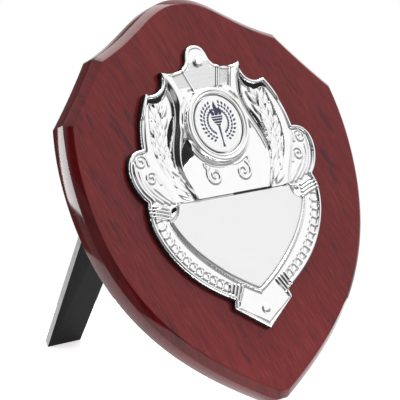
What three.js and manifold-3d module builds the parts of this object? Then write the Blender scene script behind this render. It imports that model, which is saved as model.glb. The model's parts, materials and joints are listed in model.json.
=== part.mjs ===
// Free-standing award shield: a bevelled, lacquered wooden shield that carries a pressed metal
// trophy front with an engraving plate and a printed centre disc, and stands on a hinged strut.
//
// Units are millimetres, +Z is up, the front of the award faces -Y, and the origin is on the
// ground at the centre of the footprint. The shield is drawn in its own leaning frame:
// x to the right, z up the shield from its tip, and y = 0 on its back face.

import * as THREE from 'three';
import { mergeVertices } from 'three/addons/utils/BufferGeometryUtils.js';
import Module from 'manifold-3d';

// ---- Driving dimensions -------------------------------------------------------------------

const LEAN = THREE.MathUtils.degToRad(21.8); // how far the shield leans back from upright
const GAP = 0.3; // clearance between pieces that touch
const THIN_GAP = 0.25; // clearance in the glued stacks

// Wooden shield
const SHIELD_HEIGHT = 178.4;
const SHIELD_HALF_WIDTH = 77.5;
const SHIELD_THICKNESS = 11;
const BEVEL = 3;
const TIP_FLAT = 6; // width of the small flat that the tip stands on

// Pressed metal front, drawn about the centre of its disc
const DISC_CENTRE = 120; // height of the disc centre above the tip
const FRONT_HEIGHT = 3.2; // from the wood face to the top of the pressing
const FRONT_WALL = 0.8;
const FRONT_EDGE = 0.6; // rounding of the pressing's outer edge
const RING_OUTER = 17;
const RING_INNER = 13.1;
const RING_HEIGHT = 5.4;
const RECESS_FLOOR = 1.1; // level of the seat for the engraving plate
const TAPE_THICKNESS = 0.35;
const ENGRAVING_THICKNESS = 0.6;
const ENGRAVING_CLEARANCE = 0.4;
const DISC_RADIUS = 12.5;
const DISC_THICKNESS = 0.7;

// Pins that nail the front to the shield
const PIN_HEAD_RADIUS = 2.1;
const PIN_HEAD_HEIGHT = 1.3;
const PIN_SHANK_RADIUS = 0.7;
const PIN_LENGTH = 8.5; // below the wood face
const TOP_PIN = 28.3; // heights from the disc centre
const BOTTOM_PIN = -81.5;

// Strut and its hinge
const STRUT_SPLAY = THREE.MathUtils.degToRad(30.2); // strut from the vertical when open
const HINGE_HEIGHT = 160; // hinge axis above the tip, along the shield
const HINGE_STAND_OFF = 2.4; // hinge axis behind the back face
const STRUT_THICKNESS = 3;
const STRUT_FACE = -1; // inner face of the strut from the hinge axis
const STRUT_TOP_GAP = 2.3; // from the hinge axis to the strut's top end
const STRUT_TOP_WIDTH = 32;
const STRUT_FOOT_WIDTH = 19.5;
const STRUT_CORNER = 1.8;
const LEAF_THICKNESS = 0.8;
const FIXED_LEAF_WIDTH = 28;
const FIXED_LEAF_HEIGHT = 12;
const MOVING_LEAF_WIDTH = 17;
const MOVING_LEAF_LENGTH = 14;
const KNUCKLE_RADIUS = 1.8;
const KNUCKLE_REACH = 10; // half the length of the barrel
const MIDDLE_KNUCKLE = 4; // half the length of the moving knuckle
const HINGE_PIN_RADIUS = 0.75;
const HINGE_BORE_RADIUS = 0.95;
const STOP_WIDTH = 3;
const STOP_REACH = 4.2; // how far the stops stand out past the hinge axis
const SCREW_SPACING = 8.5;
const SCREW_HEIGHT = 7; // above the hinge axis
const SCREW_HEAD_RADIUS = 2.3;
const SCREW_HEAD_HEIGHT = 1.2;
const SCREW_SHANK_RADIUS = 0.9;
const SCREW_DEPTH = 7.5;
const RIVET_SPACING = 10;
const RIVET_DROP = 9; // below the hinge axis
const RIVET_RADIUS = 1;
const RIVET_HEAD_RADIUS = 2.2;
const RIVET_HEAD_HEIGHT = 1;

// ---- Solid helpers ------------------------------------------------------------------------

const wasm = await Module();
wasm.setup();

function toSolid(geometry) {
  const bare = geometry.clone();
  bare.deleteAttribute('normal');
  bare.deleteAttribute('uv');
  const merged = mergeVertices(bare, 1e-4);
  return new wasm.Manifold(new wasm.Mesh({
    numProp: 3,
    vertProperties: new Float32Array(merged.attributes.position.array),
    triVerts: new Uint32Array(merged.index.array),
  }));
}

function toGeometry(solid) {
  const mesh = solid.getMesh();
  const geometry = new THREE.BufferGeometry();
  geometry.setAttribute('position', new THREE.BufferAttribute(mesh.vertProperties, 3));
  geometry.setIndex(new THREE.BufferAttribute(mesh.triVerts, 1));
  geometry.computeVertexNormals();
  return geometry;
}

// Start from one solid, then join and cut others.
function build(base, { join = [], cut = [] }) {
  let solid = toSolid(base);
  for (const piece of join) solid = solid.add(toSolid(piece));
  for (const piece of cut) solid = solid.subtract(toSolid(piece));
  return toGeometry(solid);
}

// Box given by its lowest and highest corners.
function box(low, high) {
  const geometry = new THREE.BoxGeometry(high[0] - low[0], high[1] - low[1], high[2] - low[2]);
  return geometry.translate((low[0] + high[0]) / 2, (low[1] + high[1]) / 2, (low[2] + high[2]) / 2);
}

// Solid of revolution whose profile of [radius, height] runs out along -Y from `base`.
function turned(profile, base, sides = 24) {
  const points = profile.map(([radius, height]) => new THREE.Vector2(radius, height));
  return new THREE.LatheGeometry(points, sides).rotateX(Math.PI).translate(base.x, base.y, base.z);
}

// ---- Outlines -----------------------------------------------------------------------------

// Sample a half outline that starts on the centre line at the top and ends at the bottom.
function sample(path, steps) {
  const points = [];
  for (const curve of path.curves) {
    const count = curve.isLineCurve ? 1 : steps;
    for (let i = 0; i < count; i += 1) points.push(curve.getPoint(i / count));
  }
  points.push(path.curves[path.curves.length - 1].getPoint(1));
  return points;
}

// Close a right-hand half outline with its mirror image, anticlockwise seen from the front.
function mirrored(half) {
  const left = half.filter((point) => point.x > 1e-6).map((point) => new THREE.Vector2(-point.x, point.y));
  return [...left, ...half.slice().reverse()];
}

// Move a closed anticlockwise outline inwards by `distance`, or outwards if it is negative.
function inset(outline, distance) {
  const limit = 1.6;
  return outline.map((point, i) => {
    const before = outline[(i + outline.length - 1) % outline.length];
    const after = outline[(i + 1) % outline.length];
    const incoming = point.clone().sub(before).normalize();
    const outgoing = after.clone().sub(point).normalize();
    const inwardIn = new THREE.Vector2(-incoming.y, incoming.x);
    const inwardOut = new THREE.Vector2(-outgoing.y, outgoing.x);
    const mitre = inwardIn.add(inwardOut).normalize();
    const stretch = Math.min(limit, 1 / Math.max(0.1, mitre.dot(inwardOut)));
    return point.clone().addScaledVector(mitre, distance * stretch);
  });
}

// Closed solid through layers of one outline: each layer is { height, inset }, and heights
// rise along -Y from `origin`.
function stack(outline, layers, origin) {
  const count = outline.length;
  const positions = [];
  for (const layer of layers) {
    for (const point of inset(outline, layer.inset)) {
      positions.push(origin.x + point.x, origin.y - layer.height, origin.z + point.y);
    }
  }
  const triangles = [];
  for (let layer = 0; layer + 1 < layers.length; layer += 1) {
    for (let i = 0; i < count; i += 1) {
      const next = (i + 1) % count;
      const a = layer * count + i;
      const b = layer * count + next;
      triangles.push(a, b, b + count, a, b + count, a + count);
    }
  }
  const top = (layers.length - 1) * count;
  for (const [a, b, c] of THREE.ShapeUtils.triangulateShape(outline, [])) {
    triangles.push(a, c, b, top + a, top + b, top + c);
  }
  const geometry = new THREE.BufferGeometry();
  geometry.setAttribute('position', new THREE.Float32BufferAttribute(positions, 3));
  geometry.setIndex(triangles);
  geometry.computeVertexNormals();
  return geometry;
}

// Wooden shield: arched crown, two shoulders with a slightly hollow edge between them, then
// long full sides down to a blunt tip.
function shieldOutline() {
  const path = new THREE.Path();
  path.moveTo(0, SHIELD_HEIGHT);
  path.bezierCurveTo(18, SHIELD_HEIGHT, 24, 166.5, 50.2, 157.2);
  path.quadraticCurveTo(61.8, 143.4, 74.6, 130.9);
  path.quadraticCurveTo(SHIELD_HALF_WIDTH, 118.5, SHIELD_HALF_WIDTH, 106);
  path.bezierCurveTo(SHIELD_HALF_WIDTH, 48, 40.8, 20.2, TIP_FLAT / 2, 0);
  return mirrored(sample(path, 14));
}

// Pressed front, about the disc centre: nail tab, two scalloped points, long side, scroll
// lobe, full lower band, and the pointed nail tab at the bottom.
function frontOutline() {
  const path = new THREE.Path();
  path.moveTo(0, 36);
  path.bezierCurveTo(4.2, 36, 5.4, 33.2, 6.2, 30);
  path.bezierCurveTo(8, 25, 15, 24.2, 21.8, 26.3);
  path.bezierCurveTo(21, 20, 26, 15.6, 33, 17.8);
  path.bezierCurveTo(38.6, 10, 41.2, 2.4, 42, -5);
  path.bezierCurveTo(54.5, -5.2, 54.2, -20.5, 46.2, -28);
  path.bezierCurveTo(49.6, -35, 46.6, -47, 38, -57.6);
  path.bezierCurveTo(31.6, -65.5, 24, -70.4, 15.2, -75.2);
  path.lineTo(16.2, -78.8);
  path.lineTo(0, -90);
  return mirrored(sample(path, 7));
}

// Seat of the engraving plate: straight top, hollow corners, and sides that meet in a point.
function engravingOutline() {
  const path = new THREE.Path();
  path.moveTo(0, -31);
  path.lineTo(31.2, -31);
  path.quadraticCurveTo(31.6, -36, 36.6, -37.6);
  path.bezierCurveTo(32.5, -50, 16.5, -64, 0, -72.2);
  return mirrored(sample(path, 8));
}

// ---- Materials ----------------------------------------------------------------------------

function material(color, roughness, metalness) {
  return new THREE.MeshStandardMaterial({ color, roughness, metalness });
}

const LACQUER = [0x6c3234, 0.2, 0];
const CHROME = [0xdfe0e2, 0.08, 1];
const SATIN_SILVER = [0xe6e6e6, 0.4, 0.9];
const WHITE_PRINT = [0xf2f2f4, 0.45, 0];
const TAPE = [0xd8d4c8, 0.8, 0];
const BLACK_BOARD = [0x1e1e1f, 0.5, 0];
const HINGE_STEEL = [0xb9b6ad, 0.35, 1];

function addPiece(parent, name, geometry, [color, roughness, metalness]) {
  const mesh = new THREE.Mesh(geometry, material(color, roughness, metalness));
  mesh.name = name;
  parent.add(mesh);
  return mesh;
}

// ---- Fasteners ----------------------------------------------------------------------------

// Round-headed pin or screw along -Y: a shank from `depth` below the seat, and a domed head.
function roundHead(base, { shank, depth, seat, head, headHeight }) {
  const profile = [[0, seat - depth], [shank, seat - depth + shank], [shank, seat], [head, seat]];
  const domeSteps = 4;
  for (let i = 1; i < domeSteps; i += 1) {
    const angle = (i / domeSteps) * (Math.PI / 2);
    profile.push([head * Math.cos(angle), seat + headHeight * Math.sin(angle)]);
  }
  profile.push([0, seat + headHeight]);
  return turned(profile, base);
}

// Straight hole along -Y between two heights above `base`.
function hole(base, radius, from, to, sides = 24) {
  return turned([[0, from], [radius, from], [radius, to], [0, to]], base, sides);
}

// ---- Shield body --------------------------------------------------------------------------

const shieldBody = new THREE.Group();
shieldBody.rotation.x = -LEAN;

const woodFace = new THREE.Vector3(0, -SHIELD_THICKNESS, DISC_CENTRE);
const pinBases = {
  top_pin: new THREE.Vector3(0, -SHIELD_THICKNESS, DISC_CENTRE + TOP_PIN),
  bottom_pin: new THREE.Vector3(0, -SHIELD_THICKNESS, DISC_CENTRE + BOTTOM_PIN),
};
const screwBases = { left: -SCREW_SPACING, centre: 0, right: SCREW_SPACING };
const screwAxisHeight = HINGE_HEIGHT + SCREW_HEIGHT;

const pinHoles = Object.values(pinBases)
  .map((base) => hole(base, PIN_SHANK_RADIUS + GAP, -PIN_LENGTH - GAP, FRONT_HEIGHT + 1));
const screwHoles = Object.values(screwBases).map((x) => hole(
  new THREE.Vector3(x, 0, screwAxisHeight),
  SCREW_SHANK_RADIUS + GAP,
  -(GAP + LEAF_THICKNESS + 1),
  SCREW_DEPTH + GAP,
));

const shieldLayers = [
  { height: 0, inset: 0 },
  { height: SHIELD_THICKNESS - BEVEL, inset: 0 },
  { height: SHIELD_THICKNESS, inset: BEVEL },
];
const shieldBlank = stack(shieldOutline(), shieldLayers, new THREE.Vector3());
addPiece(shieldBody, 'wood_shield', build(shieldBlank, { cut: [...pinHoles, ...screwHoles] }), LACQUER);

// ---- Pressed metal front ------------------------------------------------------------------

function trophyFront() {
  const outline = frontOutline();
  const seat = engravingOutline();
  const roof = FRONT_HEIGHT - FRONT_WALL;
  const outer = stack(outline, [
    { height: GAP, inset: 0 },
    { height: FRONT_HEIGHT - FRONT_EDGE, inset: 0 },
    { height: FRONT_HEIGHT, inset: FRONT_EDGE },
  ], woodFace);
  const ring = turned([
    [RING_INNER, FRONT_HEIGHT - 0.4],
    [RING_OUTER, FRONT_HEIGHT - 0.4],
    [RING_OUTER, FRONT_HEIGHT],
    [RING_OUTER - 1.3, RING_HEIGHT],
    [RING_INNER + 0.9, RING_HEIGHT],
    [RING_INNER, FRONT_HEIGHT + 1.4],
    [RING_INNER, FRONT_HEIGHT - 0.4],
  ], woodFace, 40);
  const hollow = toGeometry(
    toSolid(stack(outline, [{ height: -1, inset: FRONT_WALL }, { height: roof, inset: FRONT_WALL }], woodFace))
      .subtract(toSolid(stack(seat, [
        { height: RECESS_FLOOR - FRONT_WALL, inset: -FRONT_WALL },
        { height: FRONT_HEIGHT, inset: -FRONT_WALL },
      ], woodFace))),
  );
  const recess = stack(seat, [
    { height: RECESS_FLOOR, inset: 0 },
    { height: FRONT_HEIGHT + 1, inset: 0 },
  ], woodFace);
  return build(outer, { join: [ring], cut: [hollow, recess, ...pinHoles] });
}
addPiece(shieldBody, 'trophy_front', trophyFront(), CHROME);

// Flat sheet cut to the engraving seat, between two heights above the wood face.
function engravingSheet(low, thickness, clearance) {
  const layers = [{ height: low, inset: clearance }, { height: low + thickness, inset: clearance }];
  return stack(engravingOutline(), layers, woodFace);
}
const engravingTapeLevel = RECESS_FLOOR + THIN_GAP;
const engravingPlateLevel = engravingTapeLevel + TAPE_THICKNESS + THIN_GAP;
addPiece(shieldBody, 'engraving_tape', engravingSheet(engravingTapeLevel, TAPE_THICKNESS, 2), TAPE);
addPiece(
  shieldBody,
  'engraving_plate',
  engravingSheet(engravingPlateLevel, ENGRAVING_THICKNESS, ENGRAVING_CLEARANCE),
  SATIN_SILVER,
);

const discTapeLevel = FRONT_HEIGHT + THIN_GAP;
const discLevel = discTapeLevel + TAPE_THICKNESS + THIN_GAP;
const discTape = hole(woodFace, DISC_RADIUS - 1.5, discTapeLevel, discTapeLevel + TAPE_THICKNESS, 40);
const disc = hole(woodFace, DISC_RADIUS, discLevel, discLevel + DISC_THICKNESS, 48);
addPiece(shieldBody, 'centre_disc_tape', discTape, TAPE);
addPiece(shieldBody, 'centre_disc', disc, WHITE_PRINT);

for (const [name, base] of Object.entries(pinBases)) {
  const pin = roundHead(base, {
    shank: PIN_SHANK_RADIUS,
    depth: PIN_LENGTH + FRONT_HEIGHT + GAP,
    seat: FRONT_HEIGHT + GAP,
    head: PIN_HEAD_RADIUS,
    headHeight: PIN_HEAD_HEIGHT,
  });
  addPiece(shieldBody, name, pin, CHROME);
}

// ---- Hinge --------------------------------------------------------------------------------

// Hinge pieces are drawn about the hinge axis: y away from the shield, z up the shield.
const hingeFrame = new THREE.Group();
hingeFrame.position.set(0, HINGE_STAND_OFF, HINGE_HEIGHT);
shieldBody.add(hingeFrame);

const leafInner = GAP - HINGE_STAND_OFF;
const leafOuter = leafInner + LEAF_THICKNESS;
const openAngle = LEAN + STRUT_SPLAY;

// Cylinder along X.
function rod(radius, fromX, toX, sides = 24) {
  const geometry = new THREE.CylinderGeometry(radius, radius, toX - fromX, sides);
  return geometry.rotateZ(Math.PI / 2).translate((fromX + toX) / 2, 0, 0);
}
const hingeBore = rod(HINGE_BORE_RADIUS, -KNUCKLE_REACH - 1, KNUCKLE_REACH + 1);

// The strut's top outer corner comes up under the stops as it opens.
const cornerOut = STRUT_FACE + STRUT_THICKNESS;
const cornerHeight = cornerOut * Math.sin(openAngle) - STRUT_TOP_GAP * Math.cos(openAngle);
const stopUnderside = cornerHeight + GAP;

function fixedLeaf() {
  const half = FIXED_LEAF_WIDTH / 2;
  const plate = box([-half, leafInner, stopUnderside], [half, leafOuter, FIXED_LEAF_HEIGHT]);
  const join = [];
  for (const side of [-1, 1]) {
    const knuckleEnds = [side * (MIDDLE_KNUCKLE + GAP), side * KNUCKLE_REACH].sort((a, b) => a - b);
    join.push(rod(KNUCKLE_RADIUS, ...knuckleEnds));
    const stopEnds = [side * (half - STOP_WIDTH), side * half].sort((a, b) => a - b);
    const stopTop = stopUnderside + LEAF_THICKNESS;
    join.push(box([stopEnds[0], leafInner, stopUnderside], [stopEnds[1], STOP_REACH, stopTop]));
  }
  const notch = MIDDLE_KNUCKLE + GAP;
  const notchTop = KNUCKLE_RADIUS + GAP;
  const cut = [hingeBore, box([-notch, leafInner - 1, -notchTop], [notch, leafOuter + 1, notchTop])];
  for (const x of Object.values(screwBases)) {
    const base = new THREE.Vector3(x, leafOuter, SCREW_HEIGHT);
    cut.push(hole(base, SCREW_SHANK_RADIUS + GAP, -1, LEAF_THICKNESS + 1));
  }
  return build(plate, { join, cut });
}

function movingLeaf() {
  const half = MOVING_LEAF_WIDTH / 2;
  const shoulder = -(KNUCKLE_RADIUS + GAP);
  const plate = box([-half, leafInner, -MOVING_LEAF_LENGTH], [half, leafOuter, shoulder]);
  const neck = box([-MIDDLE_KNUCKLE, leafInner, shoulder - 1], [MIDDLE_KNUCKLE, leafOuter, 0]);
  const knuckle = rod(KNUCKLE_RADIUS, -MIDDLE_KNUCKLE, MIDDLE_KNUCKLE);
  return build(plate, { join: [neck, knuckle], cut: [hingeBore, ...rivetHoles()] });
}

function rivetBase(side) {
  return new THREE.Vector3((side * RIVET_SPACING) / 2, 0, -RIVET_DROP);
}

function rivetHoles() {
  return [-1, 1].map((side) => hole(rivetBase(side), RIVET_RADIUS + GAP, -5, 5));
}

addPiece(hingeFrame, 'hinge_fixed_leaf', fixedLeaf(), HINGE_STEEL);
const pinReach = KNUCKLE_REACH + 0.5;
addPiece(hingeFrame, 'hinge_pin', rod(HINGE_PIN_RADIUS, -pinReach, pinReach), HINGE_STEEL);
for (const [side, x] of Object.entries(screwBases)) {
  const base = new THREE.Vector3(x, leafOuter, SCREW_HEIGHT);
  const screw = roundHead(base, {
    shank: SCREW_SHANK_RADIUS,
    depth: SCREW_DEPTH,
    seat: GAP,
    head: SCREW_HEAD_RADIUS,
    headHeight: SCREW_HEAD_HEIGHT,
  });
  const outward = screw.translate(-x, -base.y, -base.z).rotateX(Math.PI).translate(x, base.y, base.z);
  addPiece(hingeFrame, `hinge_screw_${side}`, outward, HINGE_STEEL);
}

// ---- Strut --------------------------------------------------------------------------------

// The strut, its leaf and the rivets turn about the hinge axis. They are drawn folded flat
// against the back, then opened.
const strut = new THREE.Group();
strut.rotation.x = openAngle;
hingeFrame.add(strut);

// Height of the open hinge axis above the ground.
const axisHeight = HINGE_HEIGHT * Math.cos(LEAN) - HINGE_STAND_OFF * Math.sin(LEAN);
const footSlope = Math.tan(STRUT_SPLAY);
const footLevel = -axisHeight / Math.cos(STRUT_SPLAY); // foot on the hinge axis' own plane

function strutLeg() {
  const half = new THREE.Path();
  const footHalf = STRUT_FOOT_WIDTH / 2;
  const topHalf = STRUT_TOP_WIDTH / 2;
  half.moveTo(0, -STRUT_TOP_GAP);
  half.lineTo(topHalf - STRUT_CORNER, -STRUT_TOP_GAP);
  half.quadraticCurveTo(topHalf, -STRUT_TOP_GAP, topHalf, -STRUT_TOP_GAP - STRUT_CORNER);
  half.lineTo(footHalf, footLevel + STRUT_CORNER);
  half.quadraticCurveTo(footHalf, footLevel, footHalf - STRUT_CORNER, footLevel);
  half.lineTo(0, footLevel);
  const outer = -(STRUT_FACE + STRUT_THICKNESS);
  const layers = [{ height: outer, inset: 0 }, { height: -STRUT_FACE, inset: 0 }];
  const leg = stack(mirrored(sample(half, 4)), layers, new THREE.Vector3());
  // Cut the foot level with the ground: the outer face reaches further down than the inner.
  const position = leg.attributes.position;
  for (let i = 0; i < position.count; i += 1) {
    if (position.getZ(i) < footLevel / 2) {
      position.setZ(i, position.getZ(i) - position.getY(i) * footSlope);
    }
  }
  leg.computeVertexNormals();
  return build(leg, { cut: rivetHoles() });
}
addPiece(strut, 'strut_leg', strutLeg(), BLACK_BOARD);
addPiece(strut, 'hinge_moving_leaf', movingLeaf(), HINGE_STEEL);
for (const [name, side] of [['leaf_rivet_left', -1], ['leaf_rivet_right', 1]]) {
  const base = rivetBase(side);
  const seat = cornerOut + GAP;
  const rivet = roundHead(new THREE.Vector3(), {
    shank: RIVET_RADIUS,
    depth: seat - leafInner,
    seat,
    head: RIVET_HEAD_RADIUS,
    headHeight: RIVET_HEAD_HEIGHT,
  });
  rivet.rotateX(Math.PI).translate(base.x, 0, base.z);
  addPiece(strut, name, rivet, HINGE_STEEL);
}

// ---- Whole award --------------------------------------------------------------------------

const group = new THREE.Group();
group.name = 'award_shield';
group.add(shieldBody);

// Stand it on the ground with the footprint centred on the origin.
group.updateMatrixWorld(true);
const bounds = new THREE.Box3().setFromObject(group, true);
shieldBody.position.set(0, -(bounds.min.y + bounds.max.y) / 2, -bounds.min.z);
group.updateMatrixWorld(true);

export default group;
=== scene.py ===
"""Free-standing wooden award shield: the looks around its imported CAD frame.

The shield's pieces are drawn in its own leaning frame, in millimetres: x to the right, y up
the shield from the centre of its disc, and z out from the face of the wood.
"""

import json
import math

import bmesh
import bpy
import numpy as np
from mathutils import Matrix, Vector


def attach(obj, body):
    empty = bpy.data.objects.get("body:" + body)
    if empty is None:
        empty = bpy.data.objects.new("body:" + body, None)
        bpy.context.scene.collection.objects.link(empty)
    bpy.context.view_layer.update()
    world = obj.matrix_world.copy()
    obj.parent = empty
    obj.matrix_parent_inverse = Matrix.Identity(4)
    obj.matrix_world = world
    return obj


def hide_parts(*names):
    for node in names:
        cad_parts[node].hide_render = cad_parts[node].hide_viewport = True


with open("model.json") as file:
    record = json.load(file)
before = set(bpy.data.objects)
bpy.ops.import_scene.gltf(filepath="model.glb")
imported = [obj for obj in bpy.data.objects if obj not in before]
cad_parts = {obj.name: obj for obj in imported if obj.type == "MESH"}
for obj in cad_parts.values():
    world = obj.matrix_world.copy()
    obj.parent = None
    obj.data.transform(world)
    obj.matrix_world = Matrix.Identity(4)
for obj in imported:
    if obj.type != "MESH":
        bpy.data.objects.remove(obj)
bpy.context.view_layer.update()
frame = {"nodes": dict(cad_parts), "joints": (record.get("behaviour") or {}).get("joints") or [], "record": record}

MM = 0.001

# ---- Sizes in millimetres, angles in radians ---------------------------------------------

WOOD_THICKNESS = 11.0
BEVEL = 3.0
DISC_HEIGHT = 120.0  # disc centre above the shield's tip
DISC_RADIUS = 12.5
DISC_TOP = 4.75  # from the face of the wood to the face of the printed disc
RELIEF_GRID = 0.25
FRONT_FOOT = 0.3  # from the wood to the lower edge of the pressed front
SEAT_TOP = -31.0  # the straight upper side of the engraving seat
SEAT_FLOOR = 1.9
SEAT_WALL = 1.9  # width of the seat's sloping wall on the left
PLATE_TOP = 2.55
TOP_PIN = 28.3
BOTTOM_PIN = -81.5
STRUT_SPLAY = math.radians(30.2)  # strut from the vertical when open
STRUT_TOP_HALF = 16.0
STRUT_FOOT_HALF = 9.75
STRUT_CORNER = 1.8
STRUT_TOP_GAP = 2.3  # from the hinge axis to the strut's top end
FLOOR_RADIUS = 150.0

# ---- The shield's own frame --------------------------------------------------------------

mounts = {m["name"]: m for m in frame["record"]["mounts"]}
disc_mount = mounts["centre_disc_face"]
out = Vector(disc_mount["axis"]).normalized()
up = Vector((0, out.z, -out.y))
face_centre = Vector(disc_mount["pos_m"]) - out * DISC_TOP * MM
shield_frame = Matrix(
    (
        (1, 0, out.x, face_centre.x),
        (0, up.y, out.y, face_centre.y),
        (0, up.z, out.z, face_centre.z),
        (0, 0, 0, 1),
    )
)
SHIELD_TILT = math.atan2(up.z, up.y)  # of the face from lying flat

# ---- Curves ------------------------------------------------------------------------------


def bezier(*points, steps=24):
    """Points on a Bezier curve of any degree, without its last one."""
    t = np.linspace(0, 1, steps, endpoint=False)[:, None]
    layer = [np.array(p, float)[None, :] + 0 * t for p in points]
    while len(layer) > 1:
        layer = [(1 - t) * a + t * b for a, b in zip(layer[:-1], layer[1:])]
    return layer[0]


def half_outline(*pieces, end):
    """The right-hand half of an outline from its pieces, top to bottom, and its last point."""
    return np.vstack([*pieces, np.array([end], float)])


def through(points, steps=10):
    """A smooth line through the points (Catmull-Rom)."""
    p = np.array(points, float)
    p = np.vstack([2 * p[0] - p[1], p, 2 * p[-1] - p[-2]])
    t = np.linspace(0, 1, steps, endpoint=False)[:, None]
    parts = []
    for a, b, c, d in zip(p[:-3], p[1:-2], p[2:-1], p[3:]):
        square = (2 * a - 5 * b + 4 * c - d) * t**2
        cube = (3 * b - a - 3 * c + d) * t**3
        parts.append(0.5 * (2 * b + (c - a) * t + square + cube))
    return np.vstack([*parts, p[-2:-1]])


def spiral(centre, start_angle, turns, start_radius, end_radius, steps=60):
    t = np.linspace(0, 1, steps)
    angle = math.radians(start_angle) + math.radians(360 * turns) * t
    radius = start_radius + (end_radius - start_radius) * t**0.8
    return np.stack([centre[0] + radius * np.cos(angle), centre[1] + radius * np.sin(angle)], 1)


def circle(radius, count=96):
    a = np.linspace(0, 2 * math.pi, count, endpoint=False)
    return np.column_stack([radius * np.cos(a), radius * np.sin(a)])


def mirrored(half):
    """Closed anticlockwise outline from a right-hand half that runs from top to bottom."""
    left = half[half[:, 0] > 1e-6] * [-1, 1]
    return np.vstack([left, half[::-1]])


def inset(outline, distance):
    """A closed anticlockwise outline moved inwards, its points kept clear of the mitres."""
    incoming = outline - np.roll(outline, 1, 0)
    incoming /= np.linalg.norm(incoming, axis=1)[:, None]
    outgoing = np.roll(incoming, -1, 0)
    mitre = np.column_stack([-incoming[:, 1] - outgoing[:, 1], incoming[:, 0] + outgoing[:, 0]])
    mitre /= np.linalg.norm(mitre, axis=1)[:, None]
    across = mitre[:, 1] * outgoing[:, 0] - mitre[:, 0] * outgoing[:, 1]
    ring = outline + mitre * (np.minimum(2.5, 1 / np.maximum(0.1, across)) * distance)[:, None]
    turn = incoming[:, 0] * outgoing[:, 1] - incoming[:, 1] * outgoing[:, 0]
    for corner in np.flatnonzero(turn * np.sign(distance) > 0.15):
        for step, direction in ((1, outgoing[corner]), (-1, -incoming[corner])):
            i = (corner + step) % len(ring)
            while (ring[i] - ring[corner]) @ direction < 1e-6 and i != corner:
                ring[i] = ring[corner]
                i = (i + step) % len(ring)
    return ring


def shield_outline():
    """The wood's outline, from heights above its tip."""
    top, shoulder, corner, side, tip = (0, 178.4), (50.2, 157.2), (74.6, 130.9), (77.5, 106), (3, 0)
    half = half_outline(
        bezier(top, (18, top[1]), (24, 166.5), shoulder, steps=30),
        bezier(shoulder, (61.8, 143.4), corner),
        bezier(corner, (77.5, 118.5), side),
        bezier(side, (77.5, 48), (40.8, 20.2), tip, steps=60),
        end=tip,
    )
    return mirrored(half - [0, DISC_HEIGHT])


FRONT_HALF = half_outline(
    bezier((0, 36), (4.2, 36), (5.4, 33.2), (6.2, 30)),
    bezier((6.2, 30), (8, 25), (15, 24.2), (21.8, 26.3)),
    bezier((21.8, 26.3), (21, 20), (26, 15.6), (33, 17.8)),
    bezier((33, 17.8), (38.6, 10), (41.2, 2.4), (42, -5)),
    bezier((42, -5), (54.5, -5.2), (54.2, -20.5), (46.2, -28)),
    bezier((46.2, -28), (49.6, -35), (46.6, -47), (38, -57.6)),
    bezier((38, -57.6), (31.6, -65.5), (24, -70.4), (15.2, -75.2)),
    [(15.2, -75.2), (16.2, -78.8)],
    end=(0, -90),
)
SEAT_HALF = half_outline(
    [(0, SEAT_TOP)],
    bezier((31.2, SEAT_TOP), (31.6, -36), (36.6, -37.6)),
    bezier((36.6, -37.6), (32.5, -50), (16.5, -64), (0, -72.2), steps=40),
    end=(0, -72.2),
)

# ---- Fields over the face ----------------------------------------------------------------


def smooth(value, low, high):
    """From 0 at `low` to 1 at `high`, eased at both ends."""
    t = np.clip((value - low) / (high - low), 0, 1)
    return t * t * (3 - 2 * t)


def bump(distance, width):
    """A rounded ridge profile, 1 on the line and 0 at `width` from it."""
    t = np.clip(1 - (distance / width) ** 2, 0, 1)
    return t * t


def trace(line, x, y, reach):
    """Distance to a line (at most `reach`), which side of it, and how far along it."""
    distance = np.full(x.shape, float(reach))
    side = np.ones(x.shape)
    run = np.zeros(x.shape)
    low, high = line.min(0) - reach, line.max(0) + reach
    near = (x > low[0]) & (x < high[0]) & (y > low[1]) & (y < high[1])
    px, py = x[near], y[near]
    best, best_side, best_run = distance[near], side[near], run[near]
    start = 0.0
    for (ax, ay), (bx, by) in zip(line[:-1], line[1:]):
        dx, dy = bx - ax, by - ay
        length = math.hypot(dx, dy)
        if length < 1e-9:
            continue
        t = np.clip(((px - ax) * dx + (py - ay) * dy) / length**2, 0, 1)
        ex, ey = px - ax - t * dx, py - ay - t * dy
        d = np.hypot(ex, ey)
        closer = d < best
        best[closer] = d[closer]
        best_side[closer] = np.where(dx * ey - dy * ex >= 0, 1, -1)[closer]
        best_run[closer] = (start + t * length)[closer]
        start += length
    distance[near], side[near], run[near] = best, best_side, best_run
    return distance, side, run


def past(line, x, y, reach):
    """Distance to the left of a line as it runs, negative to its right, up to `reach`."""
    distance, side, _ = trace(line, x, y, reach)
    return side * distance


def nearest_on(line, x, y):
    """Distance to a line, and its nearest point to each point."""
    best = np.full(x.shape, 1e9)
    qx, qy = x.copy(), y.copy()
    for (ax, ay), (bx, by) in zip(line[:-1], line[1:]):
        dx, dy = bx - ax, by - ay
        length2 = dx * dx + dy * dy
        if length2 < 1e-12:
            continue
        t = np.clip(((x - ax) * dx + (y - ay) * dy) / length2, 0, 1)
        cx, cy = ax + t * dx, ay + t * dy
        d = np.hypot(x - cx, y - cy)
        closer = d < best
        best[closer], qx[closer], qy[closer] = d[closer], cx[closer], cy[closer]
    return best, qx, qy


def inside(polygon, x, y):
    """Whether each point is inside a closed polygon."""
    result = np.zeros(x.shape, bool)
    for (ax, ay), (bx, by) in zip(polygon, np.roll(polygon, -1, 0)):
        if ay == by:
            continue
        crosses = (ay > y) != (by > y)
        result ^= crosses & (x < ax + (y - ay) * (bx - ax) / (by - ay))
    return result


def depth_in(polygon, x, y, reach):
    """How far inside a closed polygon each point is, negative outside, up to `reach`."""
    closed = np.vstack([polygon, polygon[:1]])
    distance, _, _ = trace(closed, x, y, reach)
    return np.where(inside(polygon, x, y), distance, -distance)


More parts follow.
